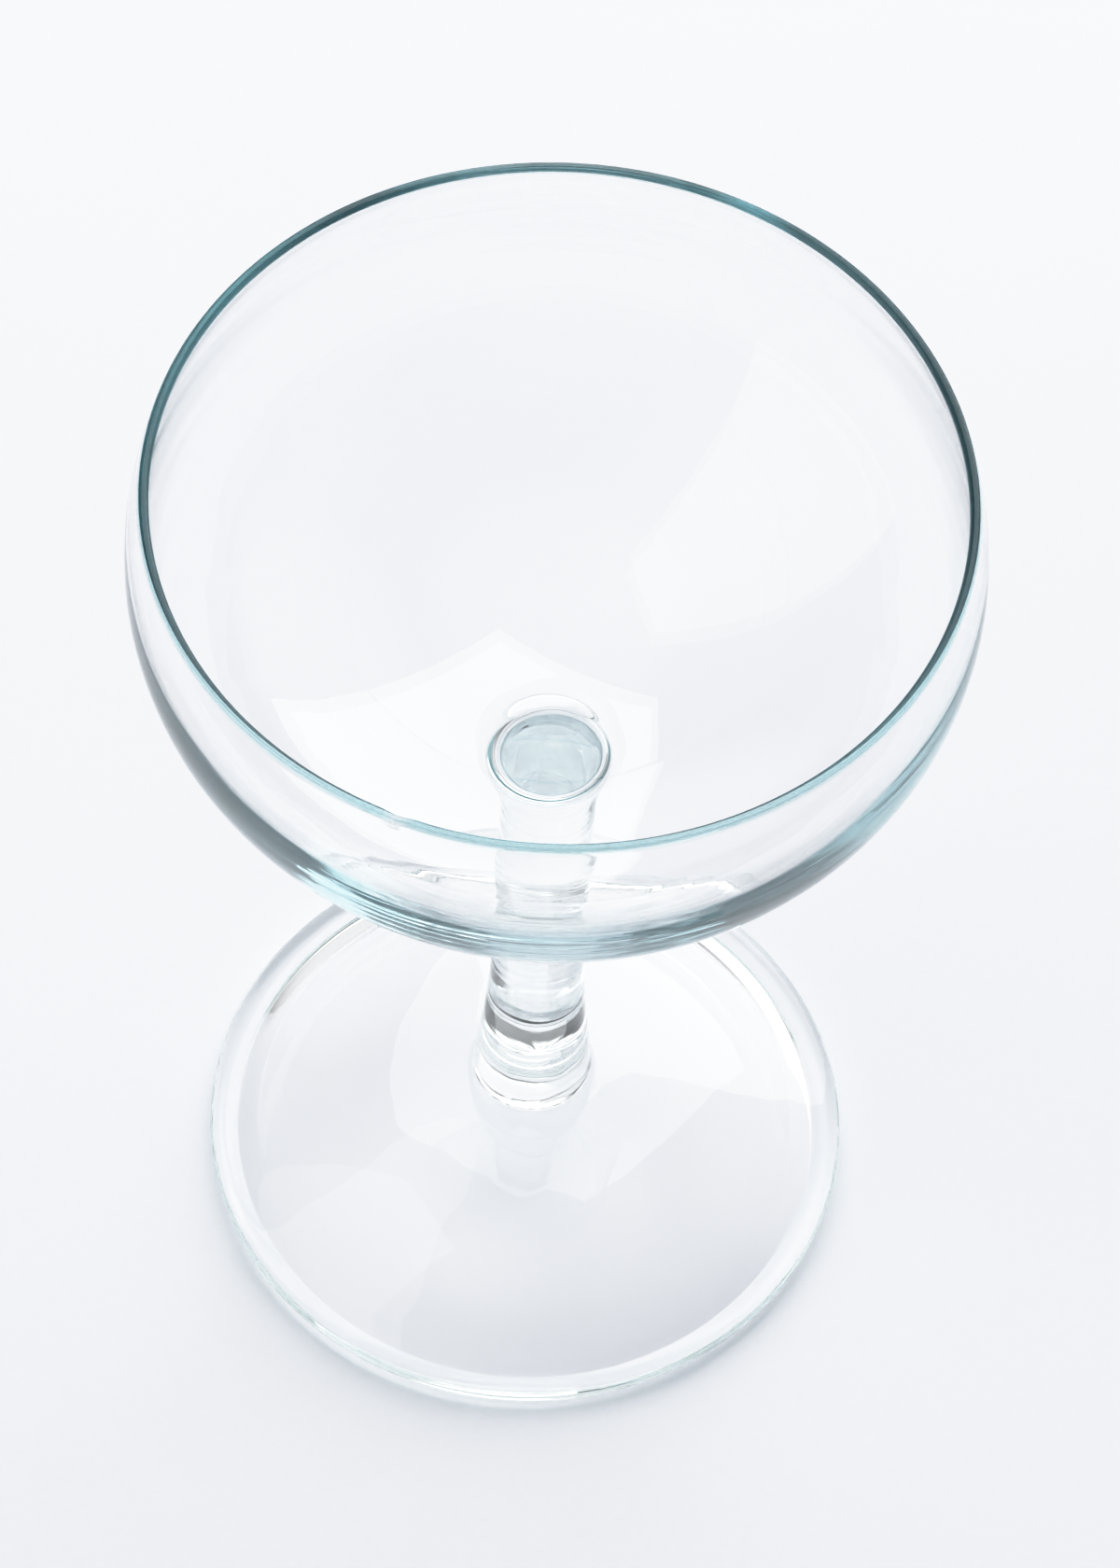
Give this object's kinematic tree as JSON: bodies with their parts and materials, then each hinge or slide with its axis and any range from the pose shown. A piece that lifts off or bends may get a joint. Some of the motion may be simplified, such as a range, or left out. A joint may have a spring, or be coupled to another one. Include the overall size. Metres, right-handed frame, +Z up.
{
  "type": "stemmed cocktail glass",
  "caption": "Clear stemmed cocktail glass with a wide round bowl tucked in at the lip, a solid stem that spreads at a seam, and a sloped foot with a rounded crown.",
  "frame": {"origin": "centre of the foot on the table plane", "axes": "+Z up along the axis of the stem; the glass is round, so X and Y are free"},
  "size_m": [0.0986, 0.0986, 0.1439],
  "materials": {
    "glass": "clear, fire polished, faint blue-green in the thick parts"
  },
  "bodies": {
    "root": {"bowl": "glass", "stem": "glass", "foot": "glass"}
  },
  "joints": []
}
